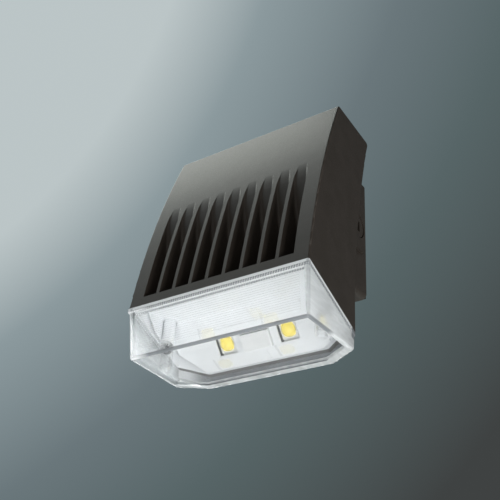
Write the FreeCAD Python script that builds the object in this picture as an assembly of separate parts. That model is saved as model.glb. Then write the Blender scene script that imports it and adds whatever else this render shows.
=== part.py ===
import FreeCAD, Part
import math
import os

# Wall pack light, in millimetres. X is right, Y points into the wall, Z is up.
# The origin is on the wall, at the centre of the back box's gasket.
# Depths are distances in front of the wall, so a depth d lies at y = -d.

# ---------------------------------------------------------------- driving sizes
# door casting: side profile and wall
door_width = 146.0
door_wall = 3.0
front_bottom_depth = 95.0
front_bottom_z = -68.2
front_top_depth = 57.3
front_top_z = 83.9
front_radius = 662.0
rear_top_depth = 10.5
rear_top_z = 80.3
rear_bottom_depth = 35.3
rear_radius = 645.0
flange_tilt = 22.0
edge_round = 1.2
rear_top_round = 3.0

# foot of the door, which carries the rear of the lens below the back box
foot_depth = 21.9
foot_corner_run = 22.6
foot_top_gap = 3.7

# cooling channels in the door's front
channel_count = 9
channel_pitch = 13.9
fin_width = 2.6
fin_draft = 1.2
channel_bottom_bar = 7.5
channel_floor_radius = 125.0
channel_floor_z = 8.0
channel_start_depth = 2.0
channel_floor_round = 2.0
channel_brow_round = 50.0

# inner frame of the door, which closes the driver's room and carries the door seal
joint_depth = 34.0
frame_thickness = 3.0
frame_opening_land = 1.5
frame_clearance = 0.3
frame_screw_inset = 5.5
frame_screw_radius = 1.25
frame_screw_head_radius = 2.1
frame_screw_head_height = 1.3
frame_screw_length = 8.0
frame_pillar_radius = 3.5
frame_screw_top_z = 72.0
frame_screw_low_z = -47.0

# back box: a ring of walls on a mounting plate
box_side_room = 5.1
box_height = 100.0
box_wall = 3.0
box_corner = 4.0
box_least_corner = 0.5
box_joint_gap = 1.8
plate_thickness = 3.0
plate_lug_size = 8.0
plate_lug_thickness = 4.0
plate_screw_radius = 1.5
plate_screw_head_radius = 2.8
plate_screw_head_height = 2.0
wall_gasket_thickness = 2.0
wall_gasket_inset = 1.5
wall_gasket_band = 12.0
wall_gasket_hub = 6.0

# holes in the back box's rear wall
gang_hole_spacing = 83.3
octagon_hole_spacing = 88.9
mounting_hole_radius = 2.4
wire_entry_radius = 11.1
gasket_hole_clearance = 1.0

# threaded conduit entries in the box's two sides
entry_radius = 10.4
entry_height = 3.0
entry_pad_half_height = 20.0
entry_pad_margin = 1.5
entry_pad_thickness = 2.2
plug_recess = 0.6
plug_key_half = 4.2
plug_key_depth = 3.0
plug_clearance = 0.05

# door seal
seal_width = 3.0
seal_groove_depth = 1.5
seal_clearance = 0.1
seal_rest_gap = 0.3

# hinge at the left of the box
hinge_axis_offset = 4.5
hinge_axis_depth = 12.0
hinge_height = 35.0
hinge_pin_radius = 2.0
hinge_running_gap = 0.05
hinge_barrel_radius = 3.8
hinge_knuckle_height = 5.4
hinge_side_gap = 0.3
hinge_ear_thickness = 4.0
hinge_head_radius = 3.2
hinge_head_height = 1.5
hinge_tail = 2.4
clip_thickness = 0.6
clip_width = 1.8
clip_groove_depth = 0.5

# latch at the right of the box, under it
latch_inset = 6.9
latch_depth = 21.5
latch_screw_radius = 2.0
latch_waist_radius = 1.6
latch_travel = 8.0
latch_seat_gap = 0.3
latch_tip_chamfer = 0.4
latch_hole_clearance = 0.3
latch_thread_clearance = 0.08
latch_head_radius = 3.5
latch_head_height = 3.0
latch_socket_radius = 1.7
latch_socket_depth = 1.8
latch_tip_gap = 1.3
latch_ear_thickness = 4.0
latch_ear_radius = 5.5
latch_lug_radius = 5.0
latch_lug_drop = 2.7
latch_lug_rise = 3.0
latch_washer_radius = 3.6
latch_washer_thickness = 0.8
latch_washer_clearance = 0.08

# optical chamber and the plane that carries the LEDs
chamber_roof = 3.5
chamber_side_wall = 4.0
chamber_rear_lip = 5.6
board_tilt = 50.0
plate_foot_depth = 31.0
plate_foot_z = -96.3
reflector_sheet = 0.8
reflector_gap = 1.8
board_thickness = 1.6
pad_thickness = 0.5
pad_margin = 1.0
pad_hole_margin = 0.5
pad_wall = 4.0

# LED board and what it carries
board_inset = 21.0
board_start = 3.0
board_height = 28.0
board_lead_hole_radius = 5.4
led_spacing = 50.8
led_centre = 17.5
led_size = 12.4
led_base_height = 0.8
phosphor_size = 9.6
phosphor_thickness = 0.3
dome_radius = 5.6
dome_height = 4.2
window_margin = 1.3
connector_width = 23.2
connector_start = 9.5
connector_length = 12.0
connector_height = 5.0
connector_margin = 0.4
connector_round = 0.5
board_screw_inset = 4.0
board_screw_radius = 1.25
board_screw_head_radius = 2.4
board_screw_head_height = 1.3
board_screw_length = 6.4

# reflector
reflector_side_gap = 1.5
reflector_front_gap = 1.2
reflector_wing_rear_depth = 45.0
reflector_wing_height = 18.0
reflector_wing_lift = 0.8
post_margin = 0.6

# lens
lens_bottom_z = -104.8
lens_wall = 2.6
lens_rim = 2.4
lens_rim_step = 0.2
lens_front_draft_depth = 89.6
lens_side_bottom_half = 70.5
lens_outer_round = 1.8
lens_inner_round = 1.0
prism_pitch = 1.6
prism_depth = 0.7
prism_side_margin = 4.0
prism_top_margin = 4.0
prism_bottom_margin = 2.5
lens_post_inset = 10.0
lens_post_depth = 61.0
lens_post_radius = 4.6
lens_post_bore = 3.6
lens_post_web = 3.0
lens_boss_radius = 4.2
lens_boss_web = 3.0
lens_screw_radius = 1.5
lens_screw_clearance = 0.2
lens_screw_head_radius = 2.9
lens_screw_head_height = 2.2
lens_screw_length = 9.0
lens_seal_inset = 1.3
lens_seal_width = 1.4
lens_seal_height = 1.0

# driver and its bracket
driver_width = 96.0
driver_height = 44.0
driver_thickness = 21.0
driver_bottom_z = -4.0
driver_back_depth = 44.5
driver_round = 2.0
bracket_thickness = 1.5
bracket_end_land = 5.0
bracket_strap_height = 40.0
bracket_tongue_half_width = 40.0
bracket_tongue_bottom = -26.0
bracket_boss_gap = 1.0
bracket_screw_inset = 6.0
bracket_boss_radius = 4.0
bracket_screw_radius = 1.5
bracket_screw_head_radius = 2.8
bracket_screw_head_height = 2.0
bracket_screw_length = 9.0
driver_screw_x = 36.0
driver_screw_length = 5.0
screw_hole_clearance = 0.2
screw_drive_radius = 1.1
screw_drive_depth = 0.8
screw_head_round_share = 0.35
screw_end_gap = 0.5

# connectors and leads
push_connector_width = 17.0
push_connector_thickness = 7.0
push_connector_height = 13.0
push_connector_pitch = 26.0
push_connector_count = 3
push_connector_round = 0.8
push_port_clearance = 0.15
push_port_depth = 8.0
push_connector_lift = 1.0
lead_radius = 1.0
lead_loop_drop = 8.0
input_lead_bend_play = 0.5
output_lead_front_gap = 7.0
output_lead_drop = 22.0
output_lead_low_z = -54.0
output_lead_offset = 5.0
output_lead_run_out = 12.0
output_lead_bends = (10.0, 8.0, 4.5)
output_lead_spacing = 7.0
grommet_flange_radius = 8.5
grommet_flange_thickness = 1.2
grommet_radius = 7.0

# earthing screw in the back box
ground_x = -40.0
ground_z = -20.0
ground_screw_radius = 2.0
ground_head_radius = 4.2
ground_head_height = 2.4
ground_boss_radius = 5.0
ground_boss_height = 5.0

# far is past every face, over is how far a cut runs past what it cuts, and the rest tell edges apart
far = 400.0
over = 1.0
same_place = 0.01
moved_edge_reach = 3.5
long_edge = 20.0
floor_edge_reach = 4.0

# ---------------------------------------------------------------- worked-out sizes
half_width = door_width / 2
front_bottom = (-front_bottom_depth, front_bottom_z)
front_top = (-front_top_depth, front_top_z)
rear_top = (-rear_top_depth, rear_top_z)
flange_slope = math.tan(math.radians(flange_tilt))
foot_y = -foot_depth
joint_y = -joint_depth
frame_front_y = joint_y - frame_thickness
frame_screw_x = half_width - frame_screw_inset
box_half_width = half_width - door_wall - box_side_room
box_half_height = box_height / 2
box_front_y = joint_y + box_joint_gap
plate_back_y = -wall_gasket_thickness
box_back_y = plate_back_y - plate_thickness
foot_top_z = -box_half_height - foot_top_gap
entry_y = (box_front_y + box_back_y) / 2
hinge_x = -box_half_width - hinge_axis_offset
hinge_y = -hinge_axis_depth
latch_x = box_half_width - latch_inset
latch_y = -latch_depth
latch_lug_bottom = -box_half_height - latch_lug_drop
latch_tip_z = latch_lug_bottom - latch_tip_gap
latch_ear_top = latch_tip_z - latch_travel
latch_ear_bottom = latch_ear_top - latch_ear_thickness
latch_head_top = latch_ear_bottom - latch_travel - latch_seat_gap
latch_washer_bottom = latch_ear_top + latch_seat_gap
latch_shoulder_z = latch_washer_bottom + latch_washer_thickness + latch_seat_gap
channel_bottom_z = front_bottom_z + channel_bottom_bar
chamber_roof_z = channel_bottom_z - chamber_roof
board_front = -reflector_sheet - reflector_gap
board_back = board_front - board_thickness
pad_plane = board_back - pad_thickness
pad_back = pad_plane - pad_wall
bracket_front_y = -driver_back_depth
bracket_back_y = bracket_front_y + bracket_thickness
driver_front_y = bracket_front_y - driver_thickness
driver_middle_z = driver_bottom_z + driver_height / 2
reflector_roof_z = chamber_roof_z - reflector_sheet
connector_middle = connector_start + connector_length / 2
board_half_width = half_width - board_inset
lens_post_x = half_width - lens_post_inset
bracket_screw_x = driver_width / 2 + bracket_boss_gap + bracket_boss_radius
bracket_half_width = bracket_screw_x + bracket_end_land


# ---------------------------------------------------------------- geometry helpers
def vec(x, y, z):
    return FreeCAD.Vector(x, y, z)


def block(x0, x1, y0, y1, z0, z1):
    low = vec(min(x0, x1), min(y0, y1), min(z0, z1))
    return Part.makeBox(abs(x1 - x0), abs(y1 - y0), abs(z1 - z0), low)


def rod(base, direction, radius, length):
    return Part.makeCylinder(radius, length, base, direction)


def prism_x(points, x0, x1):
    """A polygon of (y, z) points, pushed from x0 to x1."""
    corners = [vec(x0, y, z) for y, z in points]
    face = Part.Face(Part.makePolygon(corners + corners[:1]))
    return face.extrude(vec(x1 - x0, 0, 0))


def prism_z(points, z0, z1):
    """A polygon of (x, y) points, pushed from z0 to z1."""
    corners = [vec(x, y, z0) for x, y in points]
    face = Part.Face(Part.makePolygon(corners + corners[:1]))
    return face.extrude(vec(0, 0, z1 - z0))


def join(shapes):
    whole = shapes[0]
    for shape in shapes[1:]:
        whole = whole.fuse(shape)
    return whole.removeSplitter()


def mirrored(shape):
    return shape.mirror(vec(0, 0, 0), vec(1, 0, 0))


def both_sides(shape):
    return Part.makeCompound([shape, mirrored(shape)])


def centre_behind(a, b, radius):
    """Centre, on the wall's side, of the circle through two (y, z) points."""
    middle_y, middle_z = (a[0] + b[0]) / 2, (a[1] + b[1]) / 2
    dy, dz = b[0] - a[0], b[1] - a[1]
    chord = math.hypot(dy, dz)
    rise = math.sqrt(radius**2 - (chord / 2) ** 2)
    side = 1.0 if dz > 0 else -1.0
    return (middle_y + side * rise * dz / chord, middle_z - side * rise * dy / chord)


def arc_yz(a, b, centre, radius, x):
    """Arc from a to b, bulging away from the wall."""
    middle_y, middle_z = (a[0] + b[0]) / 2 - centre[0], (a[1] + b[1]) / 2 - centre[1]
    reach = radius / math.hypot(middle_y, middle_z)
    top = vec(x, centre[0] + middle_y * reach, centre[1] + middle_z * reach)
    return Part.Arc(vec(x, *a), top, vec(x, *b)).toShape()


def line_yz(a, b, x):
    return Part.LineSegment(vec(x, *a), vec(x, *b)).toShape()


def disc_x(centre, radius):
    """A cylinder along X, wider than the light."""
    return rod(vec(-far, centre[0], centre[1]), vec(1, 0, 0), radius, 2 * far)


def disc_y(centre, radius, z):
    """Front-facing y of a circle at height z."""
    return centre[0] - math.sqrt(radius**2 - (z - centre[1]) ** 2)


front_centre = centre_behind(front_bottom, front_top, front_radius)
channel_floor_y = disc_y(front_centre, front_radius, channel_floor_z) + channel_start_depth
floor_centre = (channel_floor_y + channel_floor_radius, channel_floor_z)


def flange_z(y):
    """Height of the flange plane, on which the lens seats."""
    return front_bottom[1] - flange_slope * (y - front_bottom[0])


def below_flange(drop):
    """Everything under the flange plane, moved down square to itself by drop."""
    shift = drop / math.cos(math.radians(flange_tilt))
    near, back = -far, far
    points = [(near, flange_z(near) - shift), (back, flange_z(back) - shift)]
    return prism_x(points + [(back, -2 * far), (near, -2 * far)], -far, far)


def rear_bottom():
    return (-rear_bottom_depth, flange_z(-rear_bottom_depth))


def top_z(y, drop=0.0):
    """Height of the door's sloping top, lowered by drop."""
    slope = (rear_top[1] - front_top[1]) / (rear_top[0] - front_top[0])
    return front_top[1] + slope * (y - front_top[0]) - drop


def plan_outline(side_inset, rear_inset):
    """The flange's outline from below, inset: straight sides and chamfered rear corners."""
    x_side = half_width - side_inset
    y_rear = foot_y - rear_inset
    run = foot_corner_run
    rise = rear_bottom_depth - foot_depth
    length = math.hypot(run, rise)
    normal_x, normal_y = rise / length, run / length
    reach = normal_x * half_width - normal_y * rear_bottom_depth - rear_inset
    y_corner = (reach - normal_x * x_side) / normal_y
    x_corner = (reach - normal_y * y_rear) / normal_x
    right = [(x_side, -far), (x_side, y_corner), (x_corner, y_rear)]
    return right + [(-x, y) for x, y in reversed(right)]


def plan_prism(side_inset, rear_inset, z0=-far, z1=far):
    return prism_z(plan_outline(side_inset, rear_inset), z0, z1)


def on_board(rise, out):
    """(y, z) on the LED plane: rise up it from the reflector's foot, out in front of it."""
    angle = math.radians(board_tilt)
    y = -plate_foot_depth - rise * math.cos(angle) - out * math.sin(angle)
    z = plate_foot_z + rise * math.sin(angle) - out * math.cos(angle)
    return (y, z)


def rise_at_height(z, out):
    """Rise up the LED plane at which it crosses height z."""
    angle = math.radians(board_tilt)
    return (z - plate_foot_z + out * math.cos(angle)) / math.sin(angle)


def rise_at_y(y, out):
    """Rise up the LED plane at which it crosses y."""
    angle = math.radians(board_tilt)
    return (-plate_foot_depth - out * math.sin(angle) - y) / math.cos(angle)


def onto_board(shape):
    """Moves a shape drawn as (x, rise, out) onto the LED plane."""
    turn = FreeCAD.Rotation(vec(1, 0, 0), 180 - board_tilt)
    shape.Placement = FreeCAD.Placement(vec(0, -plate_foot_depth, plate_foot_z), turn)
    return shape


def drive_recess(base, direction):
    """Hexagon socket in a screw head, cut from its top inwards."""
    across = direction.cross(vec(1, 0, 0)) * screw_drive_radius
    turns = [FreeCAD.Rotation(direction, 60 * i) for i in range(7)]
    hexagon = Part.makePolygon([base + turn.multVec(across) for turn in turns])
    return Part.Face(hexagon).extrude(direction * screw_drive_depth)


def pan_screw(seat, inward, radius, length, head_radius, head_height):
    """Screw whose head rests on seat; inward points along the shank."""
    back = inward * -1
    top = seat + back * head_height
    shank = rod(seat + back * (head_height / 2), inward, radius, length + head_height / 2)
    head = rod(seat, back, head_radius, head_height)
    rim = [e for e in head.Edges if e.Closed and abs((e.CenterOfMass - top).dot(back)) < same_place]
    head = head.makeFillet(head_height * screw_head_round_share, rim)
    return join([head, shank]).cut(drive_recess(top, inward))


# ---------------------------------------------------------------- door casting
def door_shell():
    """The door's outer form: the side profile pushed across the width, and its foot."""
    x = -half_width
    bottom = rear_bottom()
    rear_centre = centre_behind(bottom, rear_top, rear_radius)
    edges = [
        arc_yz(front_bottom, front_top, front_centre, front_radius, x),
        line_yz(front_top, rear_top, x),
        arc_yz(rear_top, bottom, rear_centre, rear_radius, x),
        line_yz(bottom, front_bottom, x),
    ]
    shell = Part.Face(Part.Wire(edges)).extrude(vec(door_width, 0, 0))
    shell = rounded_outside(shell)
    foot = plan_prism(0, 0, -far, foot_top_z).cut(below_flange(0))
    foot = foot.cut(block(-far, far, -far, -rear_bottom_depth - chamber_rear_lip, -far, far))
    return join([shell, foot])


def rounded_outside(shell):
    """Rounds the front's side edges and the edges of the top."""
    rear_edges = []
    edges = []
    for edge in shell.Edges:
        middle = edge.CenterOfMass
        across = edge.BoundBox.XLength > over
        high = middle.z > rear_top[1] - over
        ahead = middle.y < -rear_top_depth - over
        if across and high and not ahead:
            rear_edges.append(edge)
        elif high and ahead:
            edges.append(edge)
        elif not across and middle.y < -(front_top_depth + front_bottom_depth) / 2 + over:
            edges.append(edge)
    edges = [e for e in edges if not on_flange(e)]
    shell = shell.makeFillet(rear_top_round, rear_edges)
    return shell.makeFillet(edge_round, same_edges(shell, edges))


def on_flange(edge):
    """True for an edge that lies in the flange plane."""
    return all(abs(v.Point.z - flange_z(v.Point.y)) < same_place for v in edge.Vertexes)


def same_edges(shape, wanted):
    """Finds edges again after another feature has renumbered them."""
    found = []
    for edge in shape.Edges:
        if any((edge.CenterOfMass - w.CenterOfMass).Length < moved_edge_reach for w in wanted):
            found.append(edge)
    return found


def channel_section():
    """Side view of a channel: its curved floor, its ledge, and open to the front."""
    brow = brow_points()
    floor_end = (disc_y(floor_centre, channel_floor_radius, channel_bottom_z), channel_bottom_z)
    near = -front_bottom_depth - door_wall
    start, join_point, middle = brow
    x = 0.0
    edges = [
        Part.Arc(vec(x, *start), vec(x, *middle), vec(x, *join_point)).toShape(),
        arc_yz(join_point, floor_end, floor_centre, channel_floor_radius, x),
        line_yz(floor_end, (near, channel_bottom_z), x),
        line_yz((near, channel_bottom_z), (near, start[1]), x),
        line_yz((near, start[1]), start, x),
    ]
    return Part.Face(Part.Wire(edges))


def brow_points():
    """The rounding between the front and a channel's floor: its two ends and its middle."""
    inner_front = front_radius - channel_brow_round
    inner_floor = channel_floor_radius - channel_brow_round
    centre = circle_crossing(front_centre, inner_front, floor_centre, inner_floor)
    start = reach_out(front_centre, centre, front_radius)
    end = reach_out(floor_centre, centre, channel_floor_radius)
    between = ((start[0] + end[0]) / 2, (start[1] + end[1]) / 2)
    middle = reach_out(centre, between, channel_brow_round)
    return start, end, middle


def reach_out(origin, towards, distance):
    """The point at a distance from origin, in the direction of another point."""
    dy, dz = towards[0] - origin[0], towards[1] - origin[1]
    scale = distance / math.hypot(dy, dz)
    return (origin[0] + dy * scale, origin[1] + dz * scale)


def circle_crossing(c1, r1, c2, r2):
    """The frontmost crossing of two circles."""
    dy, dz = c2[0] - c1[0], c2[1] - c1[1]
    apart = math.hypot(dy, dz)
    along = (r1**2 - r2**2 + apart**2) / (2 * apart)
    aside = math.sqrt(r1**2 - along**2)
    foot = (c1[0] + along * dy / apart, c1[1] + along * dz / apart)
    step = (-dz / apart * aside, dy / apart * aside)
    pair = [(foot[0] + step[0], foot[1] + step[1]), (foot[0] - step[0], foot[1] - step[1])]
    return min(pair)


def channel_cutter(x_middle):
    """One channel between two fins, with drafted walls and a rounded floor."""
    gap = channel_pitch - fin_width
    face = channel_section()
    face.translate(vec(-half_width, 0, 0))
    slab = face.extrude(vec(door_width, 0, 0))
    mouth, deep = -front_bottom_depth - door_wall, 0.0
    lean = math.tan(math.radians(fin_draft))
    wide = gap / 2 + lean * door_wall
    narrow = gap / 2 - lean * front_bottom_depth
    wedge = prism_z([(-wide, mouth), (wide, mouth), (narrow, deep), (-narrow, deep)], -far, far)
    cutter = slab.common(wedge)
    cutter = cutter.makeFillet(channel_floor_round, floor_corner_edges(cutter))
    cutter.translate(vec(x_middle, 0, 0))
    return cutter


def floor_corner_edges(cutter):
    """The cutter's long curved edges, where the floor meets the fins."""
    floor_top = brow_points()[1][1]
    found = []
    for edge in cutter.Edges:
        middle = edge.CenterOfMass
        box = edge.BoundBox
        on_floor = abs(middle.y - disc_y(floor_centre, channel_floor_radius, middle.z)) < floor_edge_reach
        below_brow = box.ZMax < floor_top + over
        if box.ZLength > long_edge and on_floor and below_brow:
            found.append(edge)
    return found


def channel_middles():
    first = -(channel_count - 1) / 2 * channel_pitch
    return [first + i * channel_pitch for i in range(channel_count)]


def driver_room():
    """Room behind the front wall for the driver and, behind it, for the back box."""
    points = [
        (-far, top_z(-far, door_wall)),
        (far, top_z(far, door_wall)),
        (far, foot_top_z),
        (-far, foot_top_z),
    ]
    room = prism_x(points, -half_width + door_wall, half_width - door_wall)
    return inside_front_wall(room)


def foot_room():
    """Room inside the foot, down to the back of the LED wall."""
    low = on_board(rise_at_y(foot_y - door_wall, pad_back), pad_back)
    high = on_board(rise_at_height(foot_top_z + over, pad_back), pad_back)
    points = [
        (high[0], foot_top_z + over),
        (frame_front_y, foot_top_z + over),
        (frame_front_y, foot_top_z - door_wall),
        (foot_y - door_wall, foot_top_z - door_wall),
        low,
        high,
    ]
    room = prism_x(points, -half_width + door_wall, half_width - door_wall)
    return inside_front_wall(room).common(plan_prism(door_wall, door_wall))


def inside_front_wall(room):
    room = room.common(disc_x(front_centre, front_radius - door_wall))
    return room.common(disc_x(floor_centre, channel_floor_radius - door_wall))


def chamber_rear_y():
    return foot_y - chamber_rear_lip


def light_chamber():
    """The optical chamber under the ledge, in front of the tilted LED wall."""
    front_y = -front_bottom_depth + door_wall
    top_rise = rise_at_height(chamber_roof_z, pad_plane)
    low_rise = rise_at_y(chamber_rear_y(), pad_plane)
    points = [
        (front_y, -far),
        (front_y, chamber_roof_z),
        on_board(top_rise, pad_plane),
        on_board(low_rise, pad_plane),
        (chamber_rear_y(), -far),
    ]
    room = prism_x(points, -half_width + chamber_side_wall, half_width - chamber_side_wall)
    return room.common(plan_prism(chamber_side_wall, chamber_rear_lip))


def seal_ring(half_x, half_z, width, y0, y1):
    """A rectangular ring round the joint, centred on the box's rim."""
    outer = block(-half_x, half_x, y0, y1, -half_z, half_z)
    inner_x, inner_z = half_x - width, half_z - width
    return outer.cut(block(-inner_x, inner_x, y0 - over, y1 + over, -inner_z, inner_z))


def lens_seal_groove():
    """Closed ring in the flange, along its outline and across the front."""
    ring = plan_prism(lens_seal_inset, lens_seal_inset)
    ring = ring.cut(plan_prism(lens_seal_inset + lens_seal_width, lens_seal_inset + lens_seal_width))
    front = -front_bottom_depth + lens_seal_inset
    ring = ring.cut(block(-far, far, -far, front, -far, far))
    side = half_width - lens_seal_inset
    strip = block(-side, side, front, front + lens_seal_width, -far, far)
    ring = join([ring, strip.common(plan_prism(lens_seal_inset, lens_seal_inset))])
    return ring.common(below_flange(-lens_seal_height)).cut(below_flange(0))


def hinge_levels():
    return [-hinge_height, hinge_height]


def hinge_arm(level):
    """An arm from the skirt back to a barrel on the hinge axis."""
    low = level - hinge_knuckle_height / 2
    barrel = rod(vec(hinge_x, hinge_y, low), vec(0, 0, 1), hinge_barrel_radius, hinge_knuckle_height)
    arm = block(-half_width, hinge_x, joint_y, hinge_y, low, low + hinge_knuckle_height)
    return barrel.fuse(arm)


def hinge_bore(level, radius):
    reach = hinge_knuckle_height + 2 * hinge_ear_thickness
    return rod(vec(hinge_x, hinge_y, level - reach), vec(0, 0, 1), radius, 2 * reach)


def latch_ear():
    """A lug behind the foot's chamfer, through which the latch screw passes."""
    disc = rod(vec(latch_x, latch_y, latch_ear_bottom), vec(0, 0, 1), latch_ear_radius, latch_ear_thickness)
    root = foot_y - 2 * latch_ear_radius
    left, right = latch_x - latch_ear_radius, latch_x + latch_ear_radius
    return disc.fuse(block(left, right, root, latch_y, latch_ear_bottom, latch_ear_top))


def latch_hole():
    radius = latch_screw_radius + latch_hole_clearance
    base = vec(latch_x, latch_y, latch_ear_bottom - over)
    return rod(base, vec(0, 0, 1), radius, latch_ear_thickness + 2 * over)


def bracket_screw_points():
    edge = bracket_strap_height / 2 - bracket_screw_inset
    levels = [driver_middle_z - edge, driver_middle_z + edge]
    return [(x, z) for x in (-bracket_screw_x, bracket_screw_x) for z in levels]


def cavity_front_y(z):
    """Inner face of the door's front wall at height z."""
    inner_front = disc_y(front_centre, front_radius - door_wall, z)
    inner_floor = disc_y(floor_centre, channel_floor_radius - door_wall, z)
    return max(inner_front, inner_floor)


def bracket_boss(x, z):
    start = cavity_front_y(z) - door_wall / 2
    return rod(vec(x, start, z), vec(0, 1, 0), bracket_boss_radius, bracket_front_y - start)


def bracket_pilot(x, z):
    depth = bracket_screw_length
    return rod(vec(x, bracket_front_y - depth, z), vec(0, 1, 0), bracket_screw_radius, depth + over)


def board_screw_points():
    x = board_half_width - board_screw_inset
    rises = [board_start + board_screw_inset, board_start + board_height - board_screw_inset]
    return [(side * x, rise) for side in (-1, 1) for rise in rises]


def board_pilots():
    depth = board_screw_length
    holes = [rod(vec(x, rise, board_front - depth), vec(0, 0, 1), board_screw_radius, depth)
             for x, rise in board_screw_points()]
    return onto_board(Part.makeCompound(holes))


def lead_hole(radius, start, length):
    """A hole square to the LED plane behind the board connector."""
    return onto_board(rod(vec(0, connector_middle, start), vec(0, 0, 1), radius, length))


def lens_screw_seat_z():
    """Where a lens screw's head rests, at the top of its post's bore."""
    return flange_z(-lens_post_depth) - lens_rim - lens_post_web


def lens_boss():
    """A pillar from the chamber's roof down to the flange, for a lens screw, and its web."""
    top = chamber_roof_z + chamber_roof / 2
    bottom = flange_z(-lens_post_depth) - 2 * lens_boss_radius
    pillar = rod(vec(lens_post_x, -lens_post_depth, bottom), vec(0, 0, 1), lens_boss_radius, top - bottom)
    web = block(lens_post_x, half_width - chamber_side_wall / 2, -lens_post_depth - lens_boss_web / 2,
                -lens_post_depth + lens_boss_web / 2, bottom, top)
    return pillar.fuse(web).cut(below_flange(0))


def lens_pilot():
    base = vec(lens_post_x, -lens_post_depth, lens_screw_seat_z())
    return rod(base, vec(0, 0, 1), lens_screw_radius, lens_screw_length)


def frame_screw_points():
    return [(side * frame_screw_x, z) for side in (-1, 1) for z in (frame_screw_low_z, frame_screw_top_z)]


def frame_pillar(x, z):
    start = cavity_front_y(z) - door_wall / 2
    return rod(vec(x, start, z), vec(0, 1, 0), frame_pillar_radius, frame_front_y - start)


def frame_pilot(x, z):
    depth = frame_screw_length - frame_thickness
    return rod(vec(x, frame_front_y - depth, z), vec(0, 1, 0), frame_screw_radius, depth + over)


def door_housing():
    casting = door_shell()
    casting = casting.cut(driver_room())
    casting = casting.cut(foot_room())
    casting = casting.cut(light_chamber())
    bosses = [bracket_boss(x, z) for x, z in bracket_screw_points()]
    bosses += [frame_pillar(x, z) for x, z in frame_screw_points()]
    arms = [hinge_arm(level) for level in hinge_levels()]
    casting = join([casting, lens_boss(), mirrored(lens_boss()), latch_ear()] + bosses + arms)
    for x in channel_middles():
        casting = casting.cut(channel_cutter(x))
    casting = casting.cut(lens_seal_groove())
    casting = casting.cut(latch_hole())
    for level in hinge_levels():
        casting = casting.cut(hinge_bore(level, hinge_pin_radius + hinge_running_gap))
    for x, z in bracket_screw_points():
        casting = casting.cut(bracket_pilot(x, z))
    for x, z in frame_screw_points():
        casting = casting.cut(frame_pilot(x, z))
    casting = casting.cut(board_pilots())
    casting = casting.cut(both_sides(lens_pilot()))
    casting = casting.cut(lead_hole(grommet_radius, pad_back - over, pad_wall + 2 * over))
    return casting


# ---------------------------------------------------------------- inner frame
def door_frame():
    """Plate across the door, with an opening for the wires and a groove for the seal."""
    x = half_width - door_wall - frame_clearance
    top = top_z(joint_y, door_wall) - frame_clearance
    plate = block(-x, x, frame_front_y, joint_y, foot_top_z, top)
    inner_x = box_half_width - box_wall - frame_opening_land
    inner_z = box_half_height - box_wall - frame_opening_land
    plate = plate.cut(block(-inner_x, inner_x, frame_front_y - over, joint_y + over, -inner_z, inner_z))
    plate = plate.cut(seal_groove())
    radius = frame_screw_radius + screw_hole_clearance
    for screw_x, z in frame_screw_points():
        plate = plate.cut(rod(vec(screw_x, -far, z), vec(0, 1, 0), radius, far))
    return plate


def seal_groove():
    spare = seal_clearance
    x, z = box_half_width + spare, box_half_height + spare
    return seal_ring(x, z, seal_width + 2 * spare, joint_y - seal_groove_depth, joint_y + over)


def frame_screws():
    screws = [pan_screw(vec(x, joint_y, z), vec(0, -1, 0), frame_screw_radius, frame_screw_length,
                        frame_screw_head_radius, frame_screw_head_height)
              for x, z in frame_screw_points()]
    return Part.makeCompound(screws)


# ---------------------------------------------------------------- seals
def door_gasket():
    bottom = joint_y - seal_groove_depth
    top = box_front_y - seal_rest_gap
    return seal_ring(box_half_width, box_half_height, seal_width, bottom, top)


def lens_gasket():
    return lens_seal_groove()


def wall_gasket():
    half_x = box_half_width - wall_gasket_inset
    half_z = box_half_height - wall_gasket_inset
    pad = block(-half_x, half_x, plate_back_y, 0, -half_z, half_z)
    inner_x, inner_z = half_x - wall_gasket_band, half_z - wall_gasket_band
    window = block(-inner_x, inner_x, -far, far, -inner_z, inner_z)
    hub_radius = wire_entry_radius + wall_gasket_hub
    hub = rod(vec(0, plate_back_y, 0), vec(0, 1, 0), hub_radius, wall_gasket_thickness)
    spoke = wall_gasket_band / 2
    spokes = [block(-spoke, spoke, plate_back_y, 0, -inner_z - over, inner_z + over),
              block(-inner_x - over, inner_x + over, plate_back_y, 0, -spoke, spoke)]
    pad = join([pad.cut(window), hub] + spokes)
    entry = rod(vec(0, -far, 0), vec(0, 1, 0), wire_entry_radius + gasket_hole_clearance, 2 * far)
    pad = pad.cut(entry)
    for x, z in mounting_points():
        hole = rod(vec(x, -far, z), vec(0, 1, 0), mounting_hole_radius + gasket_hole_clearance, 2 * far)
        pad = pad.cut(hole)
    return pad


# ---------------------------------------------------------------- back box
def mounting_points():
    gang, octagon = gang_hole_spacing / 2, octagon_hole_spacing / 2
    return [(0, -gang), (0, gang), (-octagon, 0), (octagon, 0)]


def along_y(shape):
    """The corner edges of a block that run along Y."""
    return [e for e in shape.Edges if e.BoundBox.YLength > e.BoundBox.XLength + e.BoundBox.ZLength]


def box_tube(inset, y0, y1):
    """A rectangular block with rounded corners, inset from the box's outside."""
    x, z = box_half_width - inset, box_half_height - inset
    tube = block(-x, x, y0, y1, -z, z)
    return tube.makeFillet(max(box_corner - inset, box_least_corner), along_y(tube))


def entry_pad():
    """The thick pad round a conduit entry, on the right."""
    y0, y1 = box_front_y + entry_pad_margin, box_back_y - entry_pad_margin
    z0, z1 = entry_height - entry_pad_half_height, entry_height + entry_pad_half_height
    pad = block(box_half_width - box_wall, box_half_width + entry_pad_thickness, y0, y1, z0, z1)
    corners = [e for e in pad.Edges if e.BoundBox.XLength > over]
    return pad.makeFillet(box_corner, corners)


def entry_hole():
    base = vec(box_half_width - 2 * box_wall, entry_y, entry_height)
    return rod(base, vec(1, 0, 0), entry_radius, 4 * box_wall)


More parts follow.
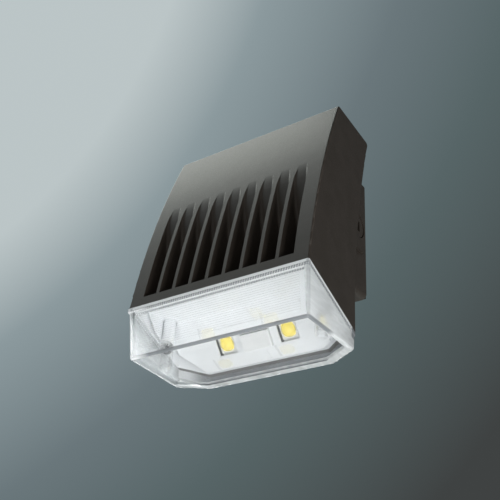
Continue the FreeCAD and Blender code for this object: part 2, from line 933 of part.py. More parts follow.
def hinge_ears(level):
    """Two ears on the box, one above and one below a knuckle of the door."""
    half = hinge_knuckle_height / 2 + hinge_side_gap
    ears = []
    for low in (level + half, level - half - hinge_ear_thickness):
        disc = rod(vec(hinge_x, hinge_y, low), vec(0, 0, 1), hinge_barrel_radius, hinge_ear_thickness)
        web = block(hinge_x, -box_half_width + box_wall / 2, hinge_y - hinge_barrel_radius,
                    hinge_y + hinge_barrel_radius, low, low + hinge_ear_thickness)
        ears.append(disc.fuse(web))
    return ears


def latch_lug():
    base = vec(latch_x, latch_y, latch_lug_bottom)
    height = latch_lug_drop + box_wall + latch_lug_rise
    return rod(base, vec(0, 0, 1), latch_lug_radius, height)


def latch_thread():
    base = vec(latch_x, latch_y, latch_lug_bottom - over)
    radius = latch_screw_radius + latch_thread_clearance
    height = latch_lug_drop + box_wall + latch_lug_rise
    return rod(base, vec(0, 0, 1), radius, height + 2 * over)


def plate_lug(side_x, side_z):
    """A lug in a rear corner of the box, screwed to the mounting plate."""
    x, z = side_x * (box_half_width - box_wall / 2), side_z * (box_half_height - box_wall / 2)
    reach = plate_lug_size + box_wall / 2
    return block(x, x - side_x * reach, box_back_y - plate_lug_thickness, box_back_y, z, z - side_z * reach)


def plate_screw_points():
    x = box_half_width - box_wall - plate_lug_size / 2
    z = box_half_height - box_wall - plate_lug_size / 2
    return [(side_x * x, side_z * z) for side_x in (-1, 1) for side_z in (-1, 1)]


def back_box():
    """Ring of four walls with conduit entries, hinge ears and the latch's lug."""
    ears = [ear for level in hinge_levels() for ear in hinge_ears(level)]
    casting = join([box_tube(0, box_front_y, box_back_y), entry_pad(), mirrored(entry_pad())] + ears)
    casting = casting.cut(box_tube(box_wall, box_front_y - over, box_back_y + over))
    lugs = [plate_lug(side_x, side_z) for side_x in (-1, 1) for side_z in (-1, 1)]
    casting = join([casting, latch_lug()] + lugs)
    casting = casting.cut(both_sides(entry_hole()))
    casting = casting.cut(latch_thread())
    for x, z in plate_screw_points():
        radius = plate_screw_radius + screw_hole_clearance
        casting = casting.cut(rod(vec(x, -far, z), vec(0, 1, 0), radius, far))
    for level in hinge_levels():
        casting = casting.cut(hinge_bore(level, hinge_pin_radius))
    return casting


def mounting_plate():
    """Rear plate of the box, with the wall's screw holes, the wire entry and the earthing boss."""
    plate = box_tube(0, box_back_y, plate_back_y)
    boss = rod(vec(ground_x, box_back_y, ground_z), vec(0, -1, 0), ground_boss_radius, ground_boss_height)
    plate = join([plate, boss])
    pilot = rod(vec(ground_x, box_back_y, ground_z), vec(0, -1, 0), ground_screw_radius, ground_boss_height)
    plate = plate.cut(pilot)
    for x, z in mounting_points():
        plate = plate.cut(rod(vec(x, -far, z), vec(0, 1, 0), mounting_hole_radius, far))
    for x, z in plate_screw_points():
        depth = plate_thickness - screw_end_gap
        plate = plate.cut(rod(vec(x, box_back_y, z), vec(0, 1, 0), plate_screw_radius, depth))
    return plate.cut(rod(vec(0, -far, 0), vec(0, 1, 0), wire_entry_radius, far))


def plate_screws():
    seat = box_back_y - plate_lug_thickness
    length = plate_lug_thickness + plate_thickness - screw_end_gap
    screws = [pan_screw(vec(x, seat, z), vec(0, 1, 0), plate_screw_radius, length,
                        plate_screw_head_radius, plate_screw_head_height)
              for x, z in plate_screw_points()]
    return Part.makeCompound(screws)


def conduit_plug():
    """Closure plug of the right-hand entry, sunk in its pad, with a square key socket."""
    inner = box_half_width - box_wall
    outer = box_half_width + entry_pad_thickness - plug_recess
    radius = entry_radius - plug_clearance
    body = rod(vec(inner, entry_y, entry_height), vec(1, 0, 0), radius, outer - inner)
    rim = [e for e in body.Edges if e.Closed and abs(e.CenterOfMass.x - outer) < same_place]
    body = body.makeChamfer(plug_recess, rim)
    half = plug_key_half
    key = block(outer - plug_key_depth, outer + over, entry_y - half, entry_y + half,
                entry_height - half, entry_height + half)
    return body.cut(key)


def hinge_pin(level):
    """Headed pin, dropped through the ears from above, with a groove for its clip."""
    half = hinge_knuckle_height / 2 + hinge_side_gap + hinge_ear_thickness
    low = level - half - hinge_tail
    pin = rod(vec(hinge_x, hinge_y, low), vec(0, 0, 1), hinge_pin_radius, 2 * half + hinge_tail)
    head = rod(vec(hinge_x, hinge_y, level + half), vec(0, 0, 1), hinge_head_radius, hinge_head_height)
    groove_base = vec(hinge_x, hinge_y, level - half - clip_thickness)
    groove = rod(groove_base, vec(0, 0, 1), far, clip_thickness)
    neck = rod(groove_base, vec(0, 0, 1), hinge_pin_radius - clip_groove_depth, clip_thickness)
    return join([pin.cut(groove.cut(neck)), head])


def hinge_clip(level):
    """Open retaining ring in the groove under the lower ear."""
    half = hinge_knuckle_height / 2 + hinge_side_gap + hinge_ear_thickness
    base = vec(hinge_x, hinge_y, level - half - clip_thickness)
    inner = hinge_pin_radius - clip_groove_depth
    ring = rod(base, vec(0, 0, 1), inner + clip_width, clip_thickness)
    ring = ring.cut(rod(base, vec(0, 0, 1), inner, clip_thickness))
    mouth = block(hinge_x - inner, hinge_x + inner, hinge_y, hinge_y - far, base.z - over, base.z + over)
    return ring.cut(mouth)


def ground_screw():
    seat = vec(ground_x, box_back_y - ground_boss_height, ground_z)
    return pan_screw(seat, vec(0, 1, 0), ground_screw_radius, ground_boss_height, ground_head_radius,
                     ground_head_height)


# ---------------------------------------------------------------- latch
def latch_screw():
    """Captive screw, shown backed out of the box's lug: head, thin waist and threaded end."""
    axis = vec(0, 0, 1)
    head_bottom = latch_head_top - latch_head_height
    head = rod(vec(latch_x, latch_y, head_bottom), axis, latch_head_radius, latch_head_height)
    waist_length = latch_shoulder_z - latch_head_top
    waist = rod(vec(latch_x, latch_y, latch_head_top), axis, latch_waist_radius, waist_length)
    thread_length = latch_tip_z - latch_shoulder_z
    thread = rod(vec(latch_x, latch_y, latch_shoulder_z), axis, latch_screw_radius, thread_length)
    tip = [e for e in thread.Edges if e.Closed and abs(e.CenterOfMass.z - latch_tip_z) < same_place]
    screw = join([head, waist, thread.makeChamfer(latch_tip_chamfer, tip)])
    return screw.cut(rod(vec(latch_x, latch_y, head_bottom), axis, latch_socket_radius, latch_socket_depth))


def latch_washer():
    """Retaining washer on the screw's waist, which keeps the screw in the door's lug."""
    base = vec(latch_x, latch_y, latch_washer_bottom)
    ring = rod(base, vec(0, 0, 1), latch_washer_radius, latch_washer_thickness)
    bore = latch_waist_radius + latch_washer_clearance
    return ring.cut(rod(base, vec(0, 0, 1), bore, latch_washer_thickness))


# ---------------------------------------------------------------- LED board
def board_plate(low, high, margin=0.0):
    """A plate the size of the board, between two distances from the LED plane."""
    x = board_half_width - margin
    return block(-x, x, board_start + margin, board_start + board_height - margin, low, high)


def led_board():
    board = board_plate(board_back, board_front)
    for x, rise in board_screw_points():
        radius = board_screw_radius + screw_hole_clearance
        board = board.cut(rod(vec(x, rise, -far), vec(0, 0, 1), radius, far))
    hole = rod(vec(0, connector_middle, -far), vec(0, 0, 1), board_lead_hole_radius, far)
    return onto_board(board.cut(hole))


def thermal_pad():
    pad = board_plate(pad_plane, board_back, pad_margin)
    for x, rise in board_screw_points():
        pad = pad.cut(rod(vec(x, rise, -far), vec(0, 0, 1), board_screw_head_radius, far))
    hole = rod(vec(0, connector_middle, -far), vec(0, 0, 1), grommet_flange_radius + pad_hole_margin, far)
    return onto_board(pad.cut(hole))


def board_screws():
    length = board_screw_length - screw_end_gap
    screws = [pan_screw(vec(x, rise, board_front), vec(0, 0, -1), board_screw_radius, length,
                        board_screw_head_radius, board_screw_head_height)
              for x, rise in board_screw_points()]
    return onto_board(Part.makeCompound(screws))


def led_positions():
    return [-led_spacing / 2, led_spacing / 2]


def square_on_board(x, size, low, high):
    half = size / 2
    return block(x - half, x + half, led_centre - half, led_centre + half, low, high)


def led_top():
    return board_front + led_base_height


def led_packages():
    """Square packages, each with a pocket for its phosphor."""
    packages = [square_on_board(x, led_size, board_front, led_top()).cut(phosphor_chip(x))
                for x in led_positions()]
    return onto_board(Part.makeCompound(packages))


def phosphor_chip(x):
    chip = square_on_board(x, phosphor_size, led_top() - phosphor_thickness, led_top())
    corners = [e for e in chip.Edges if e.BoundBox.ZLength > phosphor_thickness / 2]
    return chip.makeFillet(phosphor_size / 5, corners)


def led_phosphors():
    return onto_board(Part.makeCompound([phosphor_chip(x) for x in led_positions()]))


def led_domes():
    """Clear silicone domes, each a flat-bottomed cap over its phosphor."""
    low = led_top()
    ball_radius = (dome_radius**2 + dome_height**2) / (2 * dome_height)
    domes = []
    for x in led_positions():
        ball = Part.makeSphere(ball_radius, vec(x, led_centre, low + dome_height - ball_radius))
        domes.append(ball.common(square_on_board(x, 4 * dome_radius, low, low + 2 * dome_height)))
    return onto_board(Part.makeCompound(domes))


def board_connector():
    """White wire-to-board connector over the board's lead hole."""
    half = connector_width / 2
    body = block(-half, half, connector_start, connector_start + connector_length,
                 board_front, board_front + connector_height)
    top = board_front + connector_height
    edges = [e for e in body.Edges if abs(e.CenterOfMass.z - top) < same_place]
    return onto_board(body.makeFillet(connector_round, edges))


# ---------------------------------------------------------------- reflector
def reflector_outline():
    """Plan outline of the reflector, whose foot stands clear of the lens's rear wall."""
    return plan_prism(chamber_side_wall + reflector_side_gap, plate_foot_depth - foot_depth)


def reflector_plate():
    plate = block(-half_width, half_width, 0, far / 4, -reflector_sheet, 0)
    for x in led_positions():
        plate = plate.cut(square_on_board(x, led_size + 2 * window_margin, -far, far))
    half = connector_width / 2 + connector_margin
    window = block(-half, half, connector_start - connector_margin,
                   connector_start + connector_length + connector_margin, -far, far)
    plate = onto_board(plate.cut(window)).common(reflector_outline())
    return plate.cut(block(-far, far, -far, far, chamber_roof_z, far))


def reflector_roof():
    side = half_width - chamber_side_wall - reflector_side_gap
    rear = on_board(rise_at_height(reflector_roof_z, 0), 0)[0]
    front = -front_bottom_depth + door_wall + reflector_front_gap
    return block(-side, side, front, rear, reflector_roof_z, chamber_roof_z)


def reflector_wing():
    """The right-hand side sheet, which stands square to the LED plane."""
    side = half_width - chamber_side_wall - reflector_side_gap
    start = rise_at_y(-reflector_wing_rear_depth, 0)
    height = reflector_wing_height
    points = [
        on_board(start, 0),
        on_board(rise_at_height(chamber_roof_z, 0), 0),
        on_board(rise_at_height(chamber_roof_z, height), height),
        on_board(start, height),
    ]
    wing = prism_x(points, side - reflector_sheet, side)
    return wing.cut(below_flange(-reflector_wing_lift))


def reflector():
    sheet = join([reflector_plate(), reflector_roof(), reflector_wing(), mirrored(reflector_wing())])
    radius = lens_post_radius + post_margin
    post = rod(vec(lens_post_x, -lens_post_depth, -far), vec(0, 0, 1), radius, 2 * far)
    return sheet.cut(both_sides(post))


# ---------------------------------------------------------------- lens
def keep_side(shape, point, normal):
    """Cuts away the part of a shape on the normal's side of a plane."""
    turn = FreeCAD.Rotation(vec(0, 0, 1), normal)
    tool = Part.makeBox(4 * far, 4 * far, 2 * far, vec(-2 * far, -2 * far, 0))
    tool.Placement = FreeCAD.Placement(point, turn)
    return shape.cut(tool)


def lens_planes(inset):
    """(point, outward normal) of each wall of the lens, moved inwards by inset."""
    top_front = vec(0, -front_bottom_depth + lens_rim_step, front_bottom_z)
    low_front = vec(0, -lens_front_draft_depth, lens_bottom_z)
    front_normal = (low_front - top_front).cross(vec(1, 0, 0)).normalize()
    if front_normal.y > 0:
        front_normal = front_normal * -1
    top_side = vec(half_width - lens_rim_step, -front_bottom_depth, front_bottom_z)
    low_side = vec(lens_side_bottom_half, -lens_front_draft_depth, lens_bottom_z)
    along_flange = vec(0, 1, -flange_slope)
    side_normal = (low_side - top_side).cross(along_flange).normalize()
    if side_normal.x < 0:
        side_normal = side_normal * -1
    outline = plan_outline(lens_rim_step, lens_rim_step)
    corner, rear = outline[1], outline[2]
    chamfer_normal = vec(corner[1] - rear[1], rear[0] - corner[0], 0).normalize() * -1
    planes = [
        (top_front, front_normal),
        (top_side, side_normal),
        (vec(-top_side.x, top_side.y, top_side.z), vec(-side_normal.x, side_normal.y, side_normal.z)),
        (vec(rear[0], rear[1], 0), vec(0, 1, 0)),
        (vec(rear[0], rear[1], 0), chamfer_normal),
        (vec(-rear[0], rear[1], 0), vec(-chamfer_normal.x, chamfer_normal.y, 0)),
        (vec(0, 0, lens_bottom_z), vec(0, 0, -1)),
    ]
    return [(point - normal * inset, normal) for point, normal in planes]


def lens_form(inset, rounding):
    """The closed form inside the lens's walls, up to the flange plane and past it."""
    top = front_bottom_z + lens_outer_round
    form = block(-half_width, half_width, -2 * front_bottom_depth, front_bottom_depth, 2 * lens_bottom_z, top)
    for point, normal in lens_planes(inset):
        form = keep_side(form, point, normal)
    edges = [e for e in form.Edges if e.CenterOfMass.z < top - same_place]
    form = form.makeFillet(rounding, edges)
    return form.common(below_flange(0)) if inset == 0 else form


def lens_prisms():
    """Saw-tooth room for the horizontal prisms cut into the front wall's inner face."""
    point, normal = lens_planes(lens_wall)[0]
    down = vec(0, normal.z, -normal.y).normalize()
    if down.z > 0:
        down = down * -1
    steep = abs(down.z)
    start = (point.z - (flange_z(point.y) - prism_top_margin)) / steep
    end = (point.z - (lens_bottom_z + lens_wall + prism_bottom_margin)) / steep
    count = int((end - start) / prism_pitch)
    inside = point - normal * prism_depth
    points = [inside + down * start]
    for i in range(count):
        here = start + i * prism_pitch
        points.append(point + down * here)
        points.append(point + down * (here + prism_pitch / 2) + normal * prism_depth)
    points.append(point + down * (start + count * prism_pitch))
    points.append(inside + down * (start + count * prism_pitch))
    half = lens_side_bottom_half - lens_wall - prism_side_margin
    return prism_x([(p.y, p.z) for p in points], -half, half)


def lens_post():
    """A hollow pillar up to the rim, with a screw hole at its top."""
    base = vec(lens_post_x, -lens_post_depth, lens_bottom_z)
    top = flange_z(-lens_post_depth) + lens_post_radius
    pillar = rod(base, vec(0, 0, 1), lens_post_radius, top - lens_bottom_z)
    return pillar.common(below_flange(0))


def lens_post_room():
    base = vec(lens_post_x, -lens_post_depth, lens_bottom_z - over)
    bore = rod(base, vec(0, 0, 1), lens_post_bore, lens_screw_seat_z() - lens_bottom_z + over)
    hole = rod(base, vec(0, 0, 1), lens_screw_radius + lens_screw_clearance, far)
    return bore.fuse(hole)


def lens():
    rim = plan_prism(0, 0).common(below_flange(0)).cut(below_flange(lens_rim))
    rim = rim.cut(block(-far, far, -far, -front_bottom_depth, -far, far))
    shell = join([lens_form(0, lens_outer_round), rim])
    shell = shell.cut(lens_form(lens_wall, lens_inner_round)).cut(lens_prisms())
    shell = join([shell, lens_post(), mirrored(lens_post())])
    return shell.cut(both_sides(lens_post_room()))


def lens_screws():
    seat = vec(lens_post_x, -lens_post_depth, lens_screw_seat_z())
    screw = pan_screw(seat, vec(0, 0, 1), lens_screw_radius, lens_screw_length - screw_end_gap,
                      lens_screw_head_radius, lens_screw_head_height)
    return both_sides(screw)


# ---------------------------------------------------------------- driver
def driver():
    half = driver_width / 2
    top = driver_bottom_z + driver_height
    case = block(-half, half, driver_front_y, bracket_front_y, driver_bottom_z, top)
    case = case.makeFillet(driver_round, along_y(case))
    for x in (-driver_screw_x, driver_screw_x):
        base = vec(x, bracket_front_y - driver_screw_length, driver_middle_z)
        case = case.cut(rod(base, vec(0, 1, 0), bracket_screw_radius, driver_screw_length))
    return case


def driver_bracket():
    """Strap across the back of the driver, with a tongue for the connectors."""
    z0, z1 = driver_middle_z - bracket_strap_height / 2, driver_middle_z + bracket_strap_height / 2
    strap = block(-bracket_half_width, bracket_half_width, bracket_front_y, bracket_back_y, z0, z1)
    tongue = block(-bracket_tongue_half_width, bracket_tongue_half_width, bracket_front_y, bracket_back_y,
                   bracket_tongue_bottom, z0)
    plate = join([strap, tongue])
    points = bracket_screw_points() + [(-driver_screw_x, driver_middle_z), (driver_screw_x, driver_middle_z)]
    for x, z in points:
        radius = bracket_screw_radius + screw_hole_clearance
        plate = plate.cut(rod(vec(x, -far, z), vec(0, 1, 0), radius, far))
    return plate


def bracket_screws():
    screws = [pan_screw(vec(x, bracket_back_y, z), vec(0, -1, 0), bracket_screw_radius, bracket_screw_length,
                        bracket_screw_head_radius, bracket_screw_head_height)
              for x, z in bracket_screw_points()]
    return Part.makeCompound(screws)


def driver_screws():
    screws = [pan_screw(vec(x, bracket_back_y, driver_middle_z), vec(0, -1, 0), bracket_screw_radius,
                        driver_screw_length, bracket_screw_head_radius, bracket_screw_head_height)
              for x in (-driver_screw_x, driver_screw_x)]
    return Part.makeCompound(screws)


# ---------------------------------------------------------------- connectors and leads
def input_lead_positions():
    first = -(push_connector_count - 1) / 2 * push_connector_pitch
    return [first + i * push_connector_pitch for i in range(push_connector_count)]


def push_connectors():
    """Push-in wire connectors on the bracket's tongue, each with a lead port and a supply port."""
    bottom = bracket_tongue_bottom + push_connector_lift
    back = bracket_back_y + push_connector_thickness
    port_radius = lead_radius + push_port_clearance
    housings = []
    top = bottom + push_connector_height
    for x in input_lead_positions():
        ports = [x, x + push_connector_width / 2]
        left = x - push_connector_width / 4
        body = block(left, left + push_connector_width, bracket_back_y, back, bottom, top)
        rim = [e for e in body.Edges if abs(e.CenterOfMass.y - back) < same_place]
        body = body.makeFillet(push_connector_round, rim)
        for port_x in ports:
            port = rod(vec(port_x, push_port_y(), bottom), vec(0, 0, 1), port_radius, push_port_depth)
            body = body.cut(port)
        housings.append(body)
    return Part.makeCompound(housings)


def push_port_y():
    return bracket_back_y + push_connector_thickness / 2


def tube_along(points, arcs):
    """A round lead through straight runs joined by tangent arcs of the given radii."""
    edges = []
    here = points[0]
    for corner, after, radius in zip(points[1:-1], points[2:], arcs):
        before = (here - corner).normalize()
        onward = (after - corner).normalize()
        half_turn = before.getAngle(onward) / 2
        setback = radius / math.tan(half_turn)
        start, end = corner + before * setback, corner + onward * setback
        centre_way = (before + onward).normalize()
        centre = corner + centre_way * (radius / math.sin(half_turn))
        middle = centre - centre_way * radius
        edges.append(Part.LineSegment(here, start).toShape())
        edges.append(Part.Arc(start, middle, end).toShape())
        here = end
    edges.append(Part.LineSegment(here, points[-1]).toShape())
    path = Part.Wire(edges)
    ring = Part.Wire(Part.makeCircle(lead_radius, points[0], points[1] - points[0]))
    return path.makePipeShell([ring], True, False)


def input_lead(x):
    """From the driver's underside down, round under the tongue and up into a connector."""
    bottom = bracket_tongue_bottom + push_connector_lift
    middle_y = (driver_front_y + bracket_front_y) / 2
    low = bracket_tongue_bottom - lead_loop_drop
    bend = (push_port_y() - middle_y) / 2 - input_lead_bend_play
    points = [
        vec(x, middle_y, driver_bottom_z),
        vec(x, middle_y, low),
        vec(x, push_port_y(), low),
        vec(x, push_port_y(), bottom + push_port_depth),
    ]
    return tube_along(points, [bend, bend])


def output_lead(x):
    """From the driver's underside down to the LED wall, and square through it."""
    start_y = driver_front_y + output_lead_front_gap
    back = on_board(connector_middle, board_front)
    out = on_board(connector_middle, pad_back - output_lead_run_out)
    points = [
        vec(x, start_y, driver_bottom_z),
        vec(x, start_y, driver_bottom_z - output_lead_drop),
        vec(x, frame_front_y - output_lead_offset, output_lead_low_z),
        vec(x, *out),
        vec(x, *back),
    ]
    return tube_along(points, output_lead_bends)


def lead_grommet():
    """Seal round the output leads, seated in the LED wall from behind."""
    body = rod(vec(0, connector_middle, pad_back), vec(0, 0, 1), grommet_radius, pad_wall)
    flange = rod(vec(0, connector_middle, pad_back - grommet_flange_thickness), vec(0, 0, 1),
                 grommet_flange_radius, grommet_flange_thickness)
    grommet = join([body, flange])
    for x in (-output_lead_spacing / 2, output_lead_spacing / 2):
        grommet = grommet.cut(rod(vec(x, connector_middle, -far), vec(0, 0, 1), lead_radius, 2 * far))
    return onto_board(grommet)


# ---------------------------------------------------------------- files
def write(name, shape):
    shape.exportStep("parts/" + name + ".step")


def build():
    os.makedirs("parts", exist_ok=True)
    write("back_box", back_box())
    write("mounting_plate", mounting_plate())
    write("plate_screws", plate_screws())
    write("wall_gasket", wall_gasket())
    write("conduit_plug_right", conduit_plug())
    write("conduit_plug_left", mirrored(conduit_plug()))
    write("hinge_pins", Part.makeCompound([hinge_pin(level) for level in hinge_levels()]))
    write("hinge_clips", Part.makeCompound([hinge_clip(level) for level in hinge_levels()]))
    write("ground_screw", ground_screw())
    write("door_housing", door_housing())
    write("door_frame", door_frame())
    write("frame_screws", frame_screws())
    write("door_gasket", door_gasket())
    write("lens", lens())
    write("lens_gasket", lens_gasket())
    write("lens_screws", lens_screws())
    write("reflector", reflector())
    write("led_board", led_board())
    write("thermal_pad", thermal_pad())
    write("board_screws", board_screws())
    write("led_packages", led_packages())
    write("led_phosphors", led_phosphors())
    write("led_domes", led_domes())
    write("board_connector", board_connector())
    write("driver", driver())
    write("driver_bracket", driver_bracket())
    write("driver_screws", driver_screws())
    write("bracket_screws", bracket_screws())
    write("push_in_connectors", push_connectors())
    for name, x in zip(("line", "neutral", "earth"), input_lead_positions()):
        write("input_lead_" + name, input_lead(x))
    write("output_lead_positive", output_lead(-output_lead_spacing / 2))
    write("output_lead_negative", output_lead(output_lead_spacing / 2))
    write("lead_grommet", lead_grommet())
    write("latch_screw", latch_screw())
    write("latch_washer", latch_washer())


build()
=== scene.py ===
"""Wall pack light, seen from below and from its right: finishes, light and camera.

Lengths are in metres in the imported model's frame: X right, Y into the wall, Z up.
"""

import math

import bpy
from mathutils import Matrix, Vector

MM = 0.001

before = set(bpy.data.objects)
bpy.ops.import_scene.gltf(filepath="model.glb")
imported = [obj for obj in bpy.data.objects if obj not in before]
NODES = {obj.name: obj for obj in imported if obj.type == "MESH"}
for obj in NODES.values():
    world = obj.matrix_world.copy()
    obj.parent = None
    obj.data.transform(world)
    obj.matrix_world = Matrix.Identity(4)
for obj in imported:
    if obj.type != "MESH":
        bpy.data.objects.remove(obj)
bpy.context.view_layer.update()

# ---------------------------------------------------------------- view and light
PICTURE_WIDTH = 500
SENSOR_WIDTH = 36.0
FOCAL_PIXELS = 814.1
VIEW_AZIMUTH = 35.99
VIEW_ELEVATION = -31.67
VIEW_ROLL = 3.99
VIEW_TARGET = Vector((0.0, -50 * MM, 0.0))
VIEW_OFFSET = Vector((4.6 * MM, -13.8 * MM, 599.3 * MM))
CLIP_START = 0.01
VIEW_TRANSFORM = "Standard"

FLOOR_DROP = 1.1
FLOOR_SIZE = 8.0

# area lights: place, aim, size, power and colour
WHITE_LIGHT = (1.0, 1.0, 1.0)
LIGHTS = {
    "overhead": ((-0.75, 0.1, 1.1), (0, -0.05, 0), 0.9, 6.5, (0.97, 1.0, 0.92)),
    "below": ((0.05, -0.50, -0.95), (0, -0.05, -0.09), 0.5, 4.8, WHITE_LIGHT),
    "low_right": ((0.95, -0.35, -0.65), (0, -0.05, -0.09), 0.5, 7.0, WHITE_LIGHT),
    "by_camera": ((0.42, -0.80, -0.40), (0, -0.05, 0), 0.05, 0.8, WHITE_LIGHT),
    "behind": ((-0.9, 1.20, 0.45), (0, 0, 0.03), 0.8, 20, WHITE_LIGHT),
}

# the world's colours, in steps towards its bright side
WORLD_BRIGHT_SIDE = Vector((-0.82, -0.05, 0.8)).normalized()
WORLD_STEPS = (
    (0.0, (0.11, 0.115, 0.115)),
    (0.25, (0.05, 0.052, 0.052)),
    (0.40, (0.05, 0.055, 0.055)),
    (0.58, (0.095, 0.130, 0.135)),
    (0.68, (0.145, 0.185, 0.20)),
    (0.78, (0.26, 0.32, 0.34)),
    (0.84, (0.50, 0.56, 0.57)),
)
WORLD_STRENGTH = 1.0

# ---------------------------------------------------------------- plain finishes
BRONZE_DARK = (0.034, 0.027, 0.021)
BRONZE_LIGHT = (0.040, 0.032, 0.026)
COAT_GRAIN = 0.7 * MM
COAT_DEPTH = 0.02 * MM
COAT_ROUGHNESS = (0.36, 0.50)
COAT_GLOSS = {"Coat Weight": 0.15, "Coat Roughness": 0.16}
WHITE = (0.86, 0.88, 0.90)
PHOSPHOR_YELLOW = (1.0, 0.86, 0.14)
EARTH_GREEN = (0.03, 0.16, 0.05)
WIRE_ROUGHNESS = (0.35, 0.55)

# colour, share of it where the mottling is darkest, grain in mm, roughness, grain depth in mm
MOULDED = {
    "white_enamel": (WHITE, 0.96, 1.2, (0.30, 0.42), 0.006),
    "solder_mask": (WHITE, 0.95, 0.8, (0.35, 0.5), 0.008),
    "ceramic": ((0.88, 0.88, 0.84), 0.95, 0.3, (0.4, 0.6), 0.004),
    "phosphor": (PHOSPHOR_YELLOW, 0.93, 0.12, (0.5, 0.7), 0.01),
    "white_nylon": ((0.85, 0.86, 0.86), 0.96, 0.5, (0.35, 0.5), 0.006),
    "silicone": ((0.20, 0.21, 0.21), 0.85, 0.4, (0.5, 0.7), 0.01),
    "white_silicone": (WHITE, 0.93, 0.4, (0.4, 0.6), 0.01),
    "foam": ((0.012, 0.012, 0.012), 0.6, 0.6, (0.8, 0.95), 0.15),
    "gap_pad": ((0.34, 0.40, 0.46), 0.85, 0.6, (0.55, 0.75), 0.02),
    "driver_plastic": ((0.018, 0.018, 0.020), 0.7, 0.5, (0.45, 0.6), 0.03),
    "smoke_clear": ((0.50, 0.52, 0.50), 0.85, 0.6, (0.15, 0.3), 0.01),
    "green_paint": (EARTH_GREEN, 0.7, 0.5, (0.3, 0.45), 0.01),
    "wire_black": ((0.012, 0.012, 0.012), 0.75, 0.4, WIRE_ROUGHNESS, 0.008),
    "wire_white": ((0.62, 0.62, 0.58), 0.75, 0.4, WIRE_ROUGHNESS, 0.008),
    "wire_green": (EARTH_GREEN, 0.75, 0.4, WIRE_ROUGHNESS, 0.008),
    "wire_red": ((0.33, 0.015, 0.012), 0.75, 0.4, WIRE_ROUGHNESS, 0.008),
    "floor_paint": ((0.74, 0.74, 0.72), 0.97, 20, (0.6, 0.75), 0.1),
}
MOULDED_EXTRAS = {
    # painted glow: the LEDs are off, but the phosphor gives out a little yellow light of its own
    "phosphor": {"Emission Color": (*PHOSPHOR_YELLOW, 1.0), "Emission Strength": 0.5},
    "smoke_clear": {"Transmission Weight": 0.6},
}

# colour, and the stretch of the marks along each axis
BRUSHED = {
    "stainless": ((0.56, 0.55, 0.53), (1, 1, 6)),
    "dark_steel": ((0.06, 0.06, 0.065), (1, 1, 6)),
    "zinc": ((0.62, 0.64, 0.66), (0.15, 1, 1)),
}
BRUSH_MARK = 0.25 * MM
BRUSH_DEPTH = 0.01 * MM
BRUSH_SHADE = 0.82
BRUSH_ROUGHNESS = (0.25, 0.42)

# the part of a noise's range that holds most of its values, and mottling against grain
NOISE_RANGE = (0.3, 0.7)
MOTTLE_SCALE = 14

# painted shadow: a dark strip at one side of each LED on the board, for the shade in the gap at
# the reflector window's edge
BOARD_PAINTED_SHADOW = (0.035, 0.040, 0.038)
LED_SPACING = 50.8 * MM
LED_SHADOW_STRIP = (-9.0 * MM, -6.2 * MM)
LED_SHADOW_BLEND = 0.1 * MM

# painted light: the domes carry the yellow of the chip seen through them
DOME_CHIP_COLOUR = (1.0, 0.93, 0.28)
DOME_SHADE = 0.97
DOME_WAVE = 3 * MM
DOME_WAVE_DEPTH = 0.01 * MM
DOME_ROUGHNESS = (0.03, 0.09)
DOME_CLARITY = {"IOR": 1.41, "Transmission Weight": 0.4, "Alpha": 0.6}

# ---------------------------------------------------------------- lens
LENS_TINT = (0.97, 0.985, 0.99)
LENS_SHADE = 0.98
LENS_IOR = 1.49
LENS_WAVE = 14 * MM
LENS_WAVE_DEPTH = 0.05 * MM
LENS_ROUGHNESS = (0.02, 0.06)
LENS_GRAZING = (0.55, 1.0)
LENS_VEIL = (0.15, 0.6)
LENS_BLEND = 0.5 * MM
LENS_WIDE_BLEND = 0.8 * MM

# the right half's corners, and the tilt of the flange that the lens seats on
LENS_FRONT_TOP = Vector((72.8, -94.8, -68.2)) * MM
LENS_FRONT_LOW = Vector((70.5, -89.6, -104.8)) * MM
LENS_REAR_LOW = Vector((72.1, -35.5, -104.8)) * MM
FLANGE_TILT = 22.0

# how much of what is behind them the rim and the grey places hide
LENS_RIM_COVER = 0.95
LENS_GREY_COVER = 0.92

# the rim under the flange and its knurled line, which end beside the rear corners
LENS_RIM = 1.7 * MM
LENS_RIM_CORE = 0.85
LENS_RIM_END = (-38 * MM, -44 * MM)
KNURL_PITCH = 1.9 * MM
KNURL_HEIGHT = 1.6 * MM
KNURL_MARK = (0.1, 0.3)
KNURL_LEAST = 0.55
KNURL_TOP = (0.9, 1.2)
KNURL_FOOT = 0.7

# painted shade along the thick corners: grey, and a white painted highlight where the light from
# the left meets them
LENS_EDGE_SHADE_GREY = (0.22, 0.235, 0.25)
LENS_EDGE_BAND = 2.2 * MM
LENS_EDGE_CORE = 0.6
LENS_UPRIGHT_LEAST = 0.45
LENS_SIDE_FADE = (-58.0 * MM, -66.0 * MM)
LENS_LIT = (-52.0 * MM, -66.0 * MM)

# the hazy walls at the sides and behind, with painted shade: darker haze on the left, and a grey
# band at the top of the rear wall
LENS_SIDE = 69.4 * MM
LENS_REAR = -21.9 * MM
LENS_CORNER_NORMAL = (0.510, 0.860)
LENS_CORNER_REACH = 6.87 * MM
LENS_WALL = 3.5 * MM
LENS_FLOOR = -102.0 * MM
LENS_TAIL_WIDTH = 7.0 * MM
# painted shade: how far down the rear wall the grey band reaches
LENS_TAIL_SHADE = 5.5 * MM
LENS_HAZE = 0.8
LENS_HAZE_BODY = 0.8
LENS_HAZE_BRIGHT_RIGHT = (0.92, 0.95, 0.96)
LENS_HAZE_SHADED_LEFT = (0.58, 0.61, 0.62)
LENS_STREAK = 5 * MM
LENS_STREAK_STRETCH = (1, 0.25, 1.4)
LENS_STREAK_RANGE = (0.8, 1.0)

